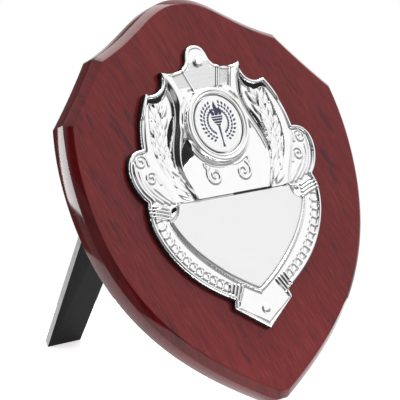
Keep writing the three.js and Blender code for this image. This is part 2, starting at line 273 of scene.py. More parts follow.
def along_line(line, distance):
    """Point and direction at a distance along a line, and the line's length."""
    steps = np.hypot(*(line[1:] - line[:-1]).T)
    run = np.concatenate([[0], np.cumsum(steps)])

    def at(d):
        return np.array([np.interp(d, run, line[:, k]) for k in (0, 1)])

    heading = at(min(distance + 0.5, run[-1])) - at(max(distance - 0.5, 0))
    return at(distance), heading / np.linalg.norm(heading), run[-1]


def raised(lines, x, y, height):
    """The highest of several rounded ridges, each (line, half width, share of the height)."""
    result = np.zeros(x.shape)
    for line, width, share in lines:
        distance, _, _ = trace(line, x, y, width)
        result = np.maximum(result, share * height * bump(distance, width))
    return result


def leaf(x, y, base, tip, width, height):
    """A pointed leaf with a midrib, rising to its tip, as a height above its ground."""
    dx, dy = tip[0] - base[0], tip[1] - base[1]
    length = math.hypot(dx, dy)
    result = np.zeros(x.shape)
    near = np.hypot(x - (base[0] + tip[0]) / 2, y - (base[1] + tip[1]) / 2) < length / 2 + 0.1
    ox, oy = x[near] - base[0], y[near] - base[1]
    along = (ox * dx + oy * dy) / length**2
    across = np.abs(ox * dy - oy * dx) / length
    t = np.clip(along, 0, 1)
    half = width / 2 * np.sin(math.pi * t**0.8) ** 0.75 + 1e-6
    on = (along > 0) & (along < 1) & (across < half)
    body = np.clip(1 - (across / half) ** 2, 0, 1) ** 0.7 * (0.55 + 0.45 * smooth(t, 0, 0.7))
    groove = 0.35 * np.exp(-((across / (0.13 * width)) ** 2)) * (1 - t)
    result[near] = np.where(on, height * np.clip(body - groove, 0, 1), 0)
    return result


# ---- The relief of the pressed front -----------------------------------------------------

# Lines of the pressing on its right half, about the centre of the disc.
INNER_FOLD = through(
    [(19.6, 26.4), (17.6, 21), (16.1, 15.5), (15.9, 10.5), (16.8, 5.5), (18.6, 0.5), (21, -5),
     (23, -10.5), (23.9, -15.5), (23.3, -21), (21, -26.5), (18.5, -31.5)]
)
OUTER_FOLD = through(
    [(22, 26.4), (20.9, 21), (19.6, 16), (19.0, 11.5), (20.2, 6), (22.6, 0.5), (25, -5),
     (26.5, -10.5), (26.8, -15.5), (25.4, -20.5), (22.7, -26), (20, -31.5)]
)
BORDER = through(
    [(33.4, 18.5), (36.1, 11), (37.9, 4), (38.9, -2), (39, -7.5), (37.8, -13), (35.2, -19),
     (32.2, -25), (29.8, -31)]
)
SPRAY_STEM = through([(25.6, -26), (29.3, -19.5), (31.4, -12), (31.6, -4), (30.2, 4), (27.6, 10.5)])
FACET_TOP = through([(13.2, -2.4), (18, -4.6), (20.6, -8), (22.7, -12.4), (24.4, -17)])
POCKET = through([(20.9, 6.4), (22.7, 3), (24.6, -0.6), (26.2, -4.2), (27, -7.8)])
BAND = through(
    [(43.4, -36.6), (42.2, -43), (39, -50), (34.4, -56.6), (28.6, -62.4), (21.8, -67.2), (16.4, -70.2)]
)
BAND_LENGTH = along_line(BAND, 0)[2]
TAB_CREASE = np.array([(9.2, -69.6), (14.4, -79), (0, -88)])

# Rounded ridges, each (line, half width, share of the height).
LOBE_RIDGES = (
    (spiral((44.6, -10.6), 205, -1.35, 3.9, 0.9), 0.85, 1),
    (spiral((41.2, -18.2), 165, -1.3, 3.3, 0.8), 0.85, 1),
    (through([(48.6, -10.5), (48.4, -16.5), (46.8, -22.3), (42.8, -27.4)]), 1.0, 0.9),
    (through([(46.6, -14.4), (46.2, -19.2), (43.6, -24.6), (38.9, -28.9)]), 1.1, 1),
    (through([(44.4, -19.4), (42.7, -23), (39.7, -26.5), (35.6, -29.6)]), 1.1, 1),
    (through([(41, -22.2), (38.4, -24.8), (36.2, -27.2), (33.2, -29.6)]), 1.1, 0.9),
    (through([(38.9, -12.6), (38.7, -17), (37.2, -21)]), 0.8, 0.7),
)
SCROLL_RIDGES = (
    (spiral((8.0, -21.6), 62, -1.35, 4.7, 0.9), 0.85, 1),
    (through([(4.2, -18), (8.0, -16.9), (11.6, -15.2), (12.4, -16.6), (11.4, -18.2)]), 0.8, 0.9),
)
GATHER_RIDGES = [
    (np.array([(47, level + 0.8), (42, level - 0.3), (37.4, level - 1.9)]), 0.95, 1)
    for level in (-30.1 - 1.55 * i for i in range(4))
] + [
    (np.array([(18.3 - 1.8 * i, -74.8 - 0.3 * i), (15.0 - 1.8 * i, -68.2 - 0.7 * i)]), 0.95, 1)
    for i in range(4)
]

# Columns of the laurel spray: start along the stem in rows, lean in radians, shift to the side.
SPRAY_ROWS = 7
SPRAY_COLUMNS = ((0, 0.42, 3.0), (0.5, -0.36, -3.1), (0.3, 0.16, 1.0), (0.8, -0.2, -0.9))
TOP_LEAVES = (
    ((27.4, 9), (24.4, 15.6)),
    ((28, 9.2), (28.6, 15)),
    ((26.8, 7), (22.4, 12.8)),
    ((29, 7), (31.8, 13.4)),
)
HANGING_LEAVES = (
    ((34.6, -13), (29.2, -24)),
    ((31.5, -11.5), (25.4, -20)),
    ((31.8, -19), (23.4, -28)),
    ((28.6, -16.5), (20.2, -24.8)),
    ((30.5, -24), (24.5, -29.6)),
)
CHAIN_LOOPS = 12


def laurel_spray(x, y):
    """Uneven leaves in four columns on a curved stem, more at its top and some hanging below."""
    spray = np.zeros(x.shape)
    total = along_line(SPRAY_STEM, 0)[2]
    for i in range(SPRAY_ROWS):
        for column, (lift, lean, shift) in enumerate(SPRAY_COLUMNS):
            sway = math.sin(2.3 * i + 1.9 * column)
            p, along, _ = along_line(SPRAY_STEM, total * (0.02 + 0.86 * (i + lift) / SPRAY_ROWS))
            across = np.array([-along[1], along[0]])
            base = p + across * shift * 0.6
            turn = lean + 0.12 * sway
            tip = base + (along * math.cos(turn) + across * math.sin(turn)) * (6.9 + 0.6 * sway)
            spray = np.maximum(spray, leaf(x, y, base, tip, 3.3, 0.62 + 0.1 * (column % 2)))
    for leaves, width, height in ((TOP_LEAVES, 3.2, 0.75), (HANGING_LEAVES, 3.4, 0.8)):
        for base, tip in leaves:
            spray = np.maximum(spray, leaf(x, y, base, tip, width, height))
    return spray


def chain(x, y):
    """Loops that overlap along the lower band, each tilted under the next."""
    result = np.zeros(x.shape)
    for i in range(CHAIN_LOOPS):
        p, along, _ = along_line(BAND, 1.4 + (BAND_LENGTH - 3.4) * i / (CHAIN_LOOPS - 1))
        ox, oy = x - p[0], y - p[1]
        s = ox * along[0] + oy * along[1]
        t = oy * along[0] - ox * along[1]
        radius = np.hypot(s * 1.05, t * 0.9)
        result = np.maximum(result, 0.26 * bump(radius - 2.2, 0.85) * (1 + 0.24 * s))
    return result


def under_rim(x, y, edge):
    """How deep a point lies in the hollow below the scalloped rim, from 0 to 1."""
    width = 2.0 * np.sin(math.pi * np.clip((x - 20.5) / 13.0, 0, 1)) ** 0.6
    hollow = smooth(edge, 1.6, 2.1) * (1 - smooth(edge - 2.1, 0.7 * width, width + 0.05))
    return hollow * (y > 8) * (width > 0.2)


def dimple(x, y):
    """Distance from the punched hollow beside the panel: below 1 within it."""
    u, v = -0.83 * (x - 34.6) + 0.55 * (y + 33), 0.55 * (x - 34.6) + 0.83 * (y + 33)
    return np.hypot(u / 1.9, v / 0.85)


def over_facet_foot(x, y):
    """Height above the straight edge that cuts off the facet beside the ring."""
    return y + 10.3 + 0.5 * (x - 13)


def past_tab_centre(x, y):
    """How far each point is past the side of the top tab's sunk centre, which widens upwards."""
    return x - (6.4 + 0.36 * (y - 16.2))


def field(x, y, past_in, left):
    """The field round the ring tilts down to its fold; on the left it has a sunk facet, which is painted with
    shade.
    """
    h = 2.85 - 0.5 * smooth(past_in, -7, -1.2) * smooth(-y, -3, 4) * smooth(-y, 19, 11)
    h = h + 0.35 * bump(np.minimum(past_in + 0.2, 0.4), 1.5) * smooth(-y, -26, -20)
    facet = smooth(over_facet_foot(x, y), -0.2, 0.7) * smooth(-past(FACET_TOP, x, y, 12), -0.9, 0)
    return h - left * facet * np.clip(0.33 * (x - 16.0), 0, 2.1) * (1 - smooth(past_in, -0.9, 0))


def fold_and_spray(h, x, y, edge, past_in, past_out):
    """A steep fall to a narrow crest, then the trough with the laurel spray."""
    share = np.clip(past_in / np.maximum(past_in - past_out, 0.3), 0, 1)
    depth = 1.8 * smooth(-y, -25, -17) * smooth(-y, 30, 20)
    floor = 1.2 + 1.0 * smooth(-y, 17, 29)
    fold = 3.1 - depth * smooth(share, 0.05, 0.9) + 0.55 * bump(past_out, 0.8)
    h = np.where((past_in > 0) & (past_out <= 0), fold, h)
    beyond = floor + 0.5 * (1 - smooth(past_out, 0.3, 1.8)) + 0.45 * bump(past_out, 0.8)
    bed = np.maximum(beyond, 2.95 - 0.62 * np.clip(edge - 1.3, 0, 9))
    bed = beyond + (bed - beyond) * smooth(y, 3, 9)
    h = np.where(past_out > 0, bed, h)
    pocket, _, run = trace(POCKET, x, y, 3)
    h = h - 1.0 * bump(pocket, 0.25 + 1.25 * np.sin(math.pi * np.clip(run / 15.2, 0, 1)))
    hollow = under_rim(x, y, edge)
    h = h - 0.7 * hollow * (past_out > 0)
    spray = laurel_spray(x, y) * (pocket > 1.2) * (hollow < 0.3)
    return np.where((past_out > -1.5) & (spray > 0), np.maximum(h, floor + 0.15 + spray), h)


def border_and_lobe(h, x, y):
    """The raised border between the spray and the edge, and the scrolled lobe outside it."""
    distance, side, _ = trace(BORDER, x, y, 60)
    half_width = 2.5 - 0.5 * smooth(-y, 0, 20)
    upper = y > -30.9
    outside = upper & (side * distance > half_width)
    h = np.where(outside, 2.3, h)
    across = half_width * 1.2
    border = np.maximum(h, 2.3) + (0.75 - 0.35 * smooth(-y, -5, 10)) * bump(distance, across)
    h = np.where(upper & (distance < across), border, h)
    h = np.where(outside & (y < -4.4), 2.25 + raised(LOBE_RIDGES, x, y, 0.4), h)
    return np.where(upper, h, 2.7)


def lower_band(h, x, y):
    """The chain in its sunk band, gathered ribs at both ends, and the dimple beside the panel."""
    distance, _, run = trace(BAND, x, y, 6)
    on_band = (run > 0.01) & (run < BAND_LENGTH - 0.01) & (y < -34)
    h = np.where(on_band, 2.7 - 0.28 * smooth(-distance, -3.0, -2.2) + chain(x, y), h)
    h = np.where(y < -28.8, h + raised(GATHER_RIDGES, x, y, 0.62), h)
    return h - 1.0 * bump(dimple(x, y), 1.0)


def edge_rim(h, x, y, edge):
    """The rim along the edge, with a groove inside it."""
    groove = np.exp(-(((edge - 2.1) / 0.4) ** 2)) * smooth(-y, -17, -13) * smooth(x, 14, 18)
    return np.where(edge < 1.7, np.maximum(h, 2.4 + 0.65 * bump(edge - 1.0, 1.4)), h - 0.45 * groove)


def tab_drapery(h, x, y, past_in):
    """The top tab's sunk centre between facets that fall away, and the bottom tab's crease."""
    past_centre = past_tab_centre(x, y)
    tab = smooth(y, 14, 17) * (past_in < 0)
    h = h - 0.75 * tab * (1 - smooth(past_centre, -0.9, 0))
    h = h + 0.25 * tab * bump(past_centre - 0.2, 0.7)
    side_facet = smooth(past_centre, 0.8, 1.2) * (1 - smooth(past_centre, 6.6, 7.6))
    h = h - tab * side_facet * 0.2 * past_centre
    crease, _, _ = trace(TAB_CREASE, x, y, 4)
    return np.where(y < -72.6, h - 0.4 * bump(crease, 0.6), h)


def ring_seat(h, x, y):
    """A narrow moat round the ring, and a flat seat inside it."""
    r = np.hypot(x, y)
    h = h - 0.4 * np.exp(-(((r - 18.2) / 0.8) ** 2)) * (y < 17)
    return 2.4 + (h - 2.4) * smooth(r, 16.1, 17.1) + 0.8 * smooth(-r, -14, -13)


def engraving_seat(h, x, y, left):
    """The engraving plate's flat seat inside a bevelled wall, narrower on the right."""
    seat = depth_in(mirrored(SEAT_HALF), x, y, 4)
    width = np.where(left, SEAT_WALL, 1.0)
    wall = 2.0 + 1.18 * np.clip(-seat / width, 0, 4)
    lower = y < SEAT_TOP
    h = np.where(lower & (seat > -width), wall, np.where(seat > -0.6, np.minimum(h, wall), h))
    h = h + np.where(lower, 0.25 * bump(seat + width + 0.2, 0.8), 0)
    return np.where(seat > 0, SEAT_FLOOR, h)


def relief(x, y, edge):
    """Height of the pressed front above the wood, at points `edge` inside its outline."""
    left = x < 0
    x = np.abs(x)
    past_in = past(INNER_FOLD, x, y, 30)
    past_out = past(OUTER_FOLD, x, y, 30)
    h = field(x, y, past_in, left)
    h = fold_and_spray(h, x, y, edge, past_in, past_out)
    h = border_and_lobe(h, x, y)
    h = lower_band(h, x, y)
    h = edge_rim(h, x, y, edge)
    h = tab_drapery(h, x, y, past_in)
    h = h + raised(SCROLL_RIDGES, x, y, 0.42)
    h = ring_seat(h, x, y)
    h = engraving_seat(h, x, y, left)
    rounding = np.sqrt(np.clip(1 - (1 - edge / 0.8) ** 2, 0, 1))
    return np.where(edge < 0.8, 1.95 + (h - 1.95) * rounding, h)


# ---- Mesh helpers ------------------------------------------------------------------------


def add_piece(name, vertices, faces, material, slot, body, stands_for=(), place=shield_frame, sharp=35):
    """A mesh piece from vertices in millimetres, smooth except at edges sharper than `sharp`."""
    mesh = bpy.data.meshes.new(name)
    rotation = np.array(place.to_3x3())
    placed = (np.asarray(vertices, float) * MM) @ rotation.T + np.array(place.translation)
    mesh.from_pydata(placed.tolist(), [], faces)
    bm = bmesh.new()
    bm.from_mesh(mesh)
    bmesh.ops.remove_doubles(bm, verts=bm.verts, dist=1e-7)
    bmesh.ops.recalc_face_normals(bm, faces=bm.faces)
    for face in bm.faces:
        face.smooth = True
    for edge in bm.edges:
        edge.smooth = not edge.is_manifold or edge.calc_face_angle() < math.radians(sharp)
    bm.to_mesh(mesh)
    bm.free()
    mesh.materials.append(material)
    obj = bpy.data.objects.new(name, mesh)
    bpy.context.scene.collection.objects.link(obj)
    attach(obj, body)
    if stands_for:
        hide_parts(*stands_for)
    return obj


def second_material_on_steep_faces(piece, direction, steepness, material):
    """Give a second material to the faces turned well away from a direction."""
    piece.data.materials.append(material)
    for polygon in piece.data.polygons:
        if abs(polygon.normal.dot(direction)) < steepness:
            polygon.material_index = 1


def stacked(outline, layers):
    """Vertices and faces of a closed solid through layers of (height, inset)."""
    count = len(outline)
    vertices = []
    for height, distance in layers:
        ring = inset(outline, distance) if distance else outline
        vertices.append(np.column_stack([ring, np.full(count, height)]))
    faces = [list(range(count))[::-1]]
    for layer in range(len(layers) - 1):
        for i in range(count):
            j = (i + 1) % count
            a, b = layer * count, (layer + 1) * count
            faces.append([a + i, a + j, b + j, b + i])
    top = (len(layers) - 1) * count
    faces.append(list(range(top, top + count)))
    return np.vstack(vertices), faces


def rounded(low, high, radius, steps=4, base=0.0):
    """Layers of a rounded top edge, from a side at inset `base`."""
    layers = [(low, base)]
    for i in range(steps + 1):
        a = math.pi / 2 * i / steps
        layers.append((high - radius + radius * math.sin(a), base + radius * (1 - math.cos(a))))
    return layers


def turned(profile, centre, sides=40):
    """Solid of revolution about the face's own normal; the profile starts and ends on it."""
    turn = np.linspace(0, 2 * math.pi, sides, endpoint=False)
    vertices = [(*centre, profile[0][1])]
    for radius, height in profile[1:-1]:
        for a in turn:
            vertices.append((centre[0] + radius * math.cos(a), centre[1] + radius * math.sin(a), height))
    vertices.append((*centre, profile[-1][1]))
    faces = []
    for i in range(sides):
        j = (i + 1) % sides
        faces.append([0, 1 + j, 1 + i])
        for k in range(len(profile) - 3):
            a0, b0 = 1 + k * sides, 1 + (k + 1) * sides
            faces.append([a0 + i, a0 + j, b0 + j, b0 + i])
        last = 1 + (len(profile) - 3) * sides
        faces.append([last + i, last + j, len(vertices) - 1])
    return np.array(vertices), faces


def hoop(profile, sides=180):
    """Closed ring swept about the disc centre from an open profile, closed across its foot."""
    turn = np.linspace(0, 2 * math.pi, sides, endpoint=False)
    vertices = [(r * math.cos(a), r * math.sin(a), height) for a in turn for r, height in profile]
    count, faces = len(profile), []
    for i in range(sides):
        j = (i + 1) % sides
        for k in range(count):
            m = (k + 1) % count
            faces.append([i * count + k, i * count + m, j * count + m, j * count + k])
    return np.array(vertices), faces


def inlay(shapes, low, high):
    """Flat closed shapes raised from one height to another."""
    vertices, faces = [], []
    base = 0
    for shape in shapes:
        following = np.roll(shape, -1, 0)
        area = 0.5 * np.sum(shape[:, 0] * following[:, 1] - following[:, 0] * shape[:, 1])
        shape = shape if area > 0 else shape[::-1]
        n = len(shape)
        vertices.append(np.column_stack([shape, np.full(n, low)]))
        vertices.append(np.column_stack([shape, np.full(n, high)]))
        faces.append([base + i for i in range(n)][::-1])
        faces.append([base + n + i for i in range(n)])
        for i in range(n):
            j = (i + 1) % n
            faces.append([base + i, base + j, base + n + j, base + n + i])
        base += 2 * n
    return np.vstack(vertices), faces


# ---- Materials ---------------------------------------------------------------------------


class Nodes:
    """A small builder for one material's node tree."""

    INPUTS = {
        "colour": "Base Color",
        "metal": "Metallic",
        "rough": "Roughness",
        "specular": "Specular IOR Level",
    }

    def __init__(self, name):
        self.material = bpy.data.materials.new(name)
        self.material.use_nodes = True
        self.tree = self.material.node_tree
        self.shader = self.tree.nodes["Principled BSDF"]

    def add(self, kind, inputs=None, **settings):
        node = self.tree.nodes.new(kind)
        for key, value in settings.items():
            setattr(node, key, value)
        for key, value in (inputs or {}).items():
            if isinstance(value, bpy.types.NodeSocket):
                self.tree.links.new(value, node.inputs[key])
            else:
                node.inputs[key].default_value = value
        return node

    def noise(self, scale, detail=3.0, roughness=0.5, turn=0.0):
        """Noise along the shield's own axes, turned about its face; the scale can differ by axis."""
        scales = scale if isinstance(scale, tuple) else (scale,) * 3
        place = self.add("ShaderNodeTexCoord").outputs["Object"]
        upright = self.add("ShaderNodeMapping", {"Vector": place, "Rotation": (-SHIELD_TILT, 0, turn)})
        scaled = self.add("ShaderNodeMapping", {"Vector": upright.outputs[0], "Scale": scales})
        inputs = {"Vector": scaled.outputs[0], "Scale": 1.0, "Detail": detail, "Roughness": roughness}
        return self.add("ShaderNodeTexNoise", inputs).outputs["Fac"]

    def ramp(self, value, *stops):
        node = self.add("ShaderNodeValToRGB", {"Fac": value})
        for element, (position, colour) in zip(node.color_ramp.elements, stops):
            element.position = position
            element.color = (*colour, 1)
        return node.outputs["Color"]

    def grey(self, value, low, high, at=(0.0, 1.0)):
        return self.ramp(value, (at[0], (low,) * 3), (at[1], (high,) * 3))

    def mix(self, factor, a, b, blend="MIX"):
        node = self.add("ShaderNodeMix", data_type="RGBA", blend_type=blend)
        for key, value in ((0, factor), (6, a), (7, b)):
            if isinstance(value, bpy.types.NodeSocket):
                self.tree.links.new(value, node.inputs[key])
            else:
                node.inputs[key].default_value = value if key == 0 else (*value, 1)
        return node.outputs[2]

    def bump(self, height, strength, distance):
        node = self.add("ShaderNodeBump", {"Height": height, "Strength": strength, "Distance": distance})
        self.tree.links.new(node.outputs["Normal"], self.shader.inputs["Normal"])

    def set(self, **values):
        for key, value in values.items():
            socket = self.shader.inputs[self.INPUTS[key]]
            if isinstance(value, bpy.types.NodeSocket):
                self.tree.links.new(value, socket)
            else:
                socket.default_value = value
        return self.material


def lacquered_wood(name, tint, specular):
    n = Nodes(name)
    lean = math.radians(-21)
    grain = n.noise((420, 26, 60), 4.0, 0.6, lean)
    fine = n.noise((2400, 120, 300), 2.0, 0.6, lean)
    broad = n.noise((26, 9, 20), 2.0, 0.5, lean)
    streak = n.noise((260, 60, 60), 3.0, 0.55, lean)
    base = n.ramp(broad, (0.25, (0.132, 0.013, 0.015)), (0.75, (0.182, 0.022, 0.024)))
    base = n.mix(n.grey(grain, 0.0, 0.7, (0.35, 0.7)), base, (0.082, 0.011, 0.014))
    base = n.mix(n.grey(fine, 0.0, 0.5, (0.45, 0.7)), base, (0.235, 0.036, 0.032))
    base = n.mix(n.grey(streak, 0.0, 0.62, (0.60, 0.68)), base, (0.045, 0.014, 0.022))
    n.bump(n.noise(60, 2.0), 0.02, 0.001)
    return n.set(colour=n.mix(1.0, base, tint, "MULTIPLY"), rough=0.1, specular=specular)


def chrome():
    """Chrome with painted shade in its hollows: its concave faces are darkened."""
    n = Nodes("pressed_chrome")
    haze = n.noise(180)
    n.bump(n.noise(900, 2.0), 0.03, 0.0002)
    # painted shade: concave faces, found by their pointiness, are darkened to half
    hollow = n.grey(n.add("ShaderNodeNewGeometry").outputs["Pointiness"], 0.5, 1.0, (0.45, 0.492))
    colour = n.mix(1.0, n.grey(haze, 0.88, 0.95), hollow, "MULTIPLY")
    return n.set(colour=colour, metal=1.0, rough=n.grey(haze, 0.12, 0.18))


def brushed_chrome():
    n = Nodes("brushed_chrome")
    lines = n.noise((60, 4200, 200), 3.0, 0.7)
    n.bump(lines, 0.12, 0.0003)
    return n.set(colour=n.grey(lines, 0.66, 0.86, (0.3, 0.7)), metal=1.0, rough=n.grey(lines, 0.22, 0.32))


def painted_shade_chrome():
    # near-black chrome: painted shade and painted dark reflections for pockets, hollows and the outer wall
    n = Nodes("painted_shade_chrome")
    return n.set(colour=n.grey(n.noise(400, 2.0), 0.012, 0.03), metal=0.3, rough=0.4, specular=0.3)


def satin_plate():
    n = Nodes("satin_engraving_plate")
    lines = n.noise((40, 2600, 200), 2.0, 0.6)
    cloud = n.noise(30, 2.0)
    n.bump(lines, 0.05, 0.0002)
    colour = n.mix(0.5, n.grey(lines, 0.80, 0.88), n.grey(cloud, 0.80, 0.88))
    return n.set(colour=colour, metal=0.5, rough=0.45)


def white_print():
    n = Nodes("white_printed_disc")
    speck = n.noise(1400, 2.0)
    n.bump(speck, 0.03, 0.0001)
    return n.set(colour=n.grey(speck, 0.83, 0.89, (0.3, 0.7)), rough=0.28, specular=0.4)


def navy_print():
    n = Nodes("navy_print")
    colour = n.ramp(n.noise(2200, 2.0), (0.3, (0.016, 0.018, 0.055)), (0.7, (0.035, 0.038, 0.095)))
    return n.set(colour=colour, rough=0.35)


def tape():
    n = Nodes("foam_tape")
    cells = n.noise(1500, 2.0)
    n.bump(cells, 0.3, 0.0003)
    return n.set(colour=n.ramp(cells, (0.3, (0.60, 0.57, 0.48)), (0.7, (0.72, 0.69, 0.60))), rough=0.85)


def black_board():
    n = Nodes("black_faced_board")
    grain = n.noise(900, 4.0, 0.6)
    wear = n.noise(60)
    n.bump(grain, 0.15, 0.0003)
    colour = n.mix(n.grey(wear, 0.0, 0.5), n.grey(grain, 0.006, 0.012), (0.012, 0.012, 0.013))
    return n.set(colour=colour, rough=n.grey(wear, 0.5, 0.62), specular=0.08)


def cut_edge():
    n = Nodes("grey_board_edge")
    fibres = n.noise((260, 260, 2600), 4.0, 0.65)
    n.bump(fibres, 0.35, 0.0004)
    colour = n.ramp(fibres, (0.3, (0.30, 0.30, 0.30)), (0.7, (0.42, 0.42, 0.415)))
    return n.set(colour=colour, rough=0.8)


def nickel_steel():
    n = Nodes("nickel_plated_steel")
    haze = n.noise(300)
    n.bump(n.noise((2400, 500, 500), 2.0), 0.05, 0.0003)
    colour = n.ramp(haze, (0.3, (0.50, 0.48, 0.44)), (0.7, (0.60, 0.58, 0.53)))
    return n.set(colour=colour, metal=1.0, rough=n.grey(haze, 0.24, 0.36))


def pale_floor():
    """A pale floor with a glow of its own, so that it is as white as the photo's background."""
    n = Nodes("pale_floor")
    n.shader.inputs["Emission Color"].default_value = (1, 1, 1, 1)
    n.shader.inputs["Emission Strength"].default_value = 0.62
    return n.set(colour=n.grey(n.noise(6, 2.0), 0.86, 0.88), rough=0.9, specular=0.1)


WOOD = lacquered_wood("lacquered_rosewood", (0.96, 0.88, 0.88), 0.22)
# painted shade: a darker, redder copy of the wood for its bevels and sides
WOOD_EDGE_PAINTED_SHADE = lacquered_wood("lacquered_rosewood_edge_painted_shade", (0.66, 0.30, 0.34), 0.32)
CHROME = chrome()
BRUSHED = brushed_chrome()
PAINTED_SHADE = painted_shade_chrome()
SATIN = satin_plate()
WHITE = white_print()
NAVY = navy_print()
TAPE = tape()
BOARD = black_board()
BOARD_EDGE = cut_edge()
STEEL = nickel_steel()

# ---- Wooden shield -----------------------------------------------------------------------

wood_layers = [
    (-WOOD_THICKNESS, 1.2),
    (-WOOD_THICKNESS, 0.45),
    (-WOOD_THICKNESS + 0.13, 0.13),
    (-WOOD_THICKNESS + 0.45, 0),
    (-BEVEL - 0.35, 0),
    (-BEVEL - 0.12, 0.03),
    (-BEVEL + 0.14, 0.14),
    (-0.40, BEVEL - 0.40),
    (-0.20, BEVEL - 0.16),
    (-0.06, BEVEL + 0.06),
    (0, BEVEL + 0.35),
    (0, BEVEL + 1.0),
]
wood_solid = stacked(shield_outline(), wood_layers)
wood = add_piece(
    "wood_shield_lacquered", *wood_solid, WOOD, "lacquered_wood", "shield", ["wood_shield"], sharp=28
)
# the bevels and sides, turned away from the face, take the darker copy: painted shade
second_material_on_steep_faces(wood, out, 0.9, WOOD_EDGE_PAINTED_SHADE)

# ---- Pressed front -----------------------------------------------------------------------


def pressed_front(step):
    """The relief as a grid cut off cleanly at the outline: vertices and faces."""
    polygon = mirrored(FRONT_HALF)
    low, high = polygon.min(0) - step, polygon.max(0) + step
    columns = math.ceil(high[0] / step)
    xs = np.arange(-columns, columns + 1) * step
    ys = np.arange(low[1], high[1] + step, step)
    x, y = (a.ravel() for a in np.meshgrid(xs, ys))
    distance, near_x, near_y = nearest_on(FRONT_HALF, np.abs(x), y)
    near_x = np.where(x < 0, -near_x, near_x)
    within = inside(polygon, np.abs(x) + 1e-7, y)
    on = distance < 0.2 * step
    x, y = np.where(on, near_x, x), np.where(on, near_y, y)
    within &= ~on
    cell = np.arange(len(x)).reshape(len(ys), len(xs))
    quads = (cell[:-1, :-1], cell[:-1, 1:], cell[1:, 1:], cell[1:, :-1])
    corners = np.column_stack([q.ravel() for q in quads])
    filled = within[corners].sum(1)
    faces = corners[filled == 4].tolist()
    points = np.column_stack([x, y]).tolist()
    cuts = {}

    def cut(i, j):
        """The point where the outline crosses from point i, within it, to point j."""
        if on[j]:
            return j
        if (i, j) not in cuts:
            share = distance[i] / (distance[i] + distance[j])
            cuts[i, j] = len(points)
            points.append([x[i] + share * (x[j] - x[i]), y[i] + share * (y[j] - y[i])])
        return cuts[i, j]

    for quad in corners[(filled > 0) & (filled < 4)].tolist():
        face = []
        for i, j in zip(quad, quad[1:] + quad[:1]):
            if within[i]:
                face.append(i)
            if within[i] != within[j]:
                face.append(cut(i, j) if within[i] else cut(j, i))
        face = [v for k, v in enumerate(face) if v != face[k - 1]]
        if len(face) > 2:
            faces.append(face)
    points = np.array(points)
    depth = np.zeros(len(points))
    depth[: len(x)] = np.where(within, distance, 0)
    used = np.zeros(len(points), bool)
    used[[i for face in faces for i in face]] = True
    renumbered = np.cumsum(used) - 1
    faces = [[int(renumbered[i]) for i in face] for face in faces]
    points, depth = points[used], depth[used]
    return np.column_stack([points, relief(points[:, 0], points[:, 1], depth)]), faces


def close_below(vertices, faces, level):
    """Take a surface's open edge straight down to `level` and cap it."""
    edges = {}
    for face in faces:
        for i, j in zip(face, face[1:] + face[:1]):
            if edges.pop((j, i), None) is None:
                edges[i, j] = True
    following = {i: j for i, j in edges}
    loop = [next(iter(following))]
    while following[loop[-1]] != loop[0]:
        loop.append(following[loop[-1]])
        if len(loop) > len(following):
            raise ValueError("the edge of the pressed front isn't one loop")
    base, count = len(vertices), len(loop)
    foot = vertices[loop].copy()
    foot[:, 2] = level
    for k in range(count):
        j = (k + 1) % count
        faces.append([loop[j], loop[k], base + k, base + j])
    faces.append([base + k for k in range(count)][::-1])
    return np.vstack([vertices, foot]), faces


def front_finish_and_shade_slots(x, y, facing):
    """Each face's material slot, from its centre and how far it faces out: 0 is plain chrome, 1 brushed, 2 painted
    shade.
    """
    brushed, painted_shade = 1, 2
    left = x < 0
    x = np.abs(x)
    finish_or_shade = np.zeros(len(x), int)

    # brushed: the centre of the top tab, and the facets beside it
    past_centre = past_tab_centre(x, y)
    finish_or_shade[(y > 16.4) & (past_centre < -1.0) & (y < 25.5 + 3 * (x < 6))] = brushed
    finish_or_shade[(y > 18) & (y < 24.6) & (past_centre > 1.2) & (past_centre < 6.6)] = brushed

    # painted shade: the pockets, and on the left the dimple and the facet beside the ring, where dark reflections
    # are painted
    pocket_width = 0.9 * np.sin(math.pi * np.clip((7 - y) / 14.8, 0, 1))
    finish_or_shade[trace(POCKET, x, y, 2)[0] < pocket_width] = painted_shade
    finish_or_shade[(dimple(x, y) < 0.9) & left] = painted_shade
    in_facet = (past(FACET_TOP, x, y, 12) < -0.2) & (past(INNER_FOLD, x, y, 12) < -0.6)
    finish_or_shade[in_facet & (over_facet_foot(x, y) > 0.4) & (x > 16) & (y < -2) & left] = painted_shade

    # painted shade: the hollow under the scalloped rim, the line over the panel, and the outer wall with the steep
    # faces along the edge
    scallop = np.flatnonzero((x > 20) & (x < 35) & (y > 8) & (y < 24))
    edge = nearest_on(FRONT_HALF, x[scallop], y[scallop])[0]
    finish_or_shade[scallop[under_rim(x[scallop], y[scallop], edge) > 0.45]] = painted_shade
    finish_or_shade[(facing < 0.8) & (np.abs(y - SEAT_TOP) < 0.7) & (x < 30)] = painted_shade
    finish_or_shade[facing < 0.05] = painted_shade
    steep = np.flatnonzero(facing < 0.45)
    finish_or_shade[steep[nearest_on(FRONT_HALF, x[steep], y[steep])[0] < 0.8]] = painted_shade
    return finish_or_shade


front_solid = close_below(*pressed_front(RELIEF_GRID), FRONT_FOOT)
front = add_piece(
    "trophy_front_relief", *front_solid, CHROME, "chrome_front", "shield", ["trophy_front"], sharp=60
)
front.data.materials.append(BRUSHED)
# third slot: the near-black painted shade
front.data.materials.append(PAINTED_SHADE)
centres = np.empty(3 * len(front.data.polygons))
normals = np.empty(3 * len(front.data.polygons))
front.data.polygons.foreach_get("center", centres)
front.data.polygons.foreach_get("normal", normals)
to_shield = np.array(shield_frame.inverted())
centres = (centres.reshape(-1, 3) @ to_shield[:3, :3].T + to_shield[:3, 3]) / MM
facing = normals.reshape(-1, 3) @ np.array(out)
front.data.polygons.foreach_set("material_index", front_finish_and_shade_slots(centres[:, 0], centres[:, 1], facing))
front.data.update()

